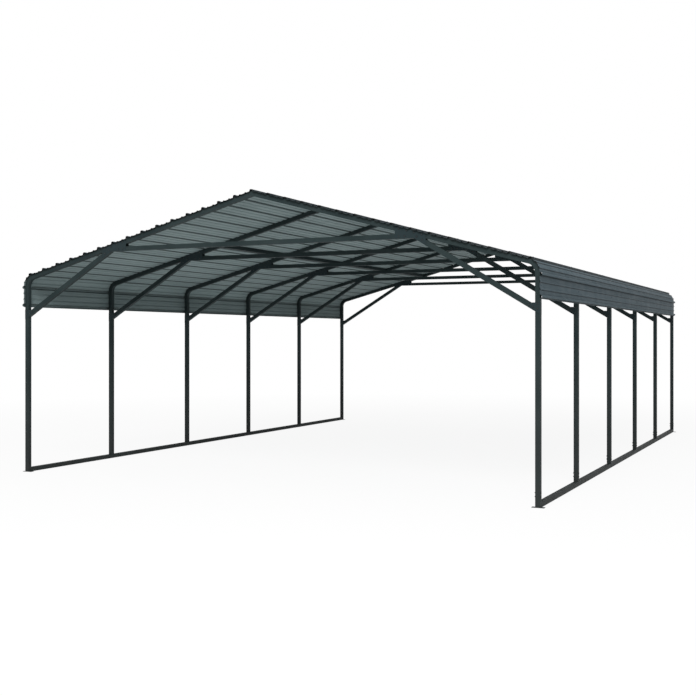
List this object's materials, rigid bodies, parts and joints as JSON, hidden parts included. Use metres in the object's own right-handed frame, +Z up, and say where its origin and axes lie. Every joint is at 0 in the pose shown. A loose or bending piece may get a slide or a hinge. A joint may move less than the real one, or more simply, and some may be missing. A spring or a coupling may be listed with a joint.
{
  "type": "carport",
  "caption": "Open two-car steel carport: bent-tube bows on legs and ground rails, collar ties and knee braces, under rib-profiled sheets that wrap the rolled eaves.",
  "frame": {"origin": "middle of the plan at ground level", "axes": "+X across to the right seen from the front, +Y from the front to the back along the ridge, +Z up"},
  "size_m": [6.8, 9.433, 3.4174],
  "materials": {
    "frame_paint": "satin dark slate powder coat on square steel tube",
    "plate_paint": "satin dark slate powder coat on steel plate",
    "sheet_paint": "satin slate grey coil coating on ribbed steel sheet"
  },
  "bodies": {
    "root": {"left_leg_1": "frame_paint", "left_leg_2": "frame_paint", "left_leg_3": "frame_paint", "left_leg_4": "frame_paint", "left_leg_5": "frame_paint", "left_leg_6": "frame_paint", "right_leg_1": "frame_paint", "right_leg_2": "frame_paint", "right_leg_3": "frame_paint", "right_leg_4": "frame_paint", "right_leg_5": "frame_paint", "right_leg_6": "frame_paint", "roof_bow_1": "frame_paint", "roof_bow_2": "frame_paint", "roof_bow_3": "frame_paint", "roof_bow_4": "frame_paint", "roof_bow_5": "frame_paint", "roof_bow_6": "frame_paint", "collar_tie_1": "frame_paint", "collar_tie_2": "frame_paint", "collar_tie_3": "frame_paint", "collar_tie_4": "frame_paint", "collar_tie_5": "frame_paint", "collar_tie_6": "frame_paint", "knee_braces_1": "frame_paint", "knee_braces_2": "frame_paint", "knee_braces_3": "frame_paint", "knee_braces_4": "frame_paint", "knee_braces_5": "frame_paint", "knee_braces_6": "frame_paint", "left_base_rail": "frame_paint", "right_base_rail": "frame_paint", "roof_struts": "frame_paint", "knee_plates": "plate_paint", "junction_plates": "plate_paint", "foot_plates": "plate_paint", "left_eave_sheet": "sheet_paint", "right_eave_sheet": "sheet_paint", "left_roof_sheet_1": "sheet_paint", "left_roof_sheet_2": "sheet_paint", "left_roof_sheet_3": "sheet_paint", "right_roof_sheet_1": "sheet_paint", "right_roof_sheet_2": "sheet_paint", "right_roof_sheet_3": "sheet_paint", "ridge_sheet": "sheet_paint"}
  },
  "joints": []
}
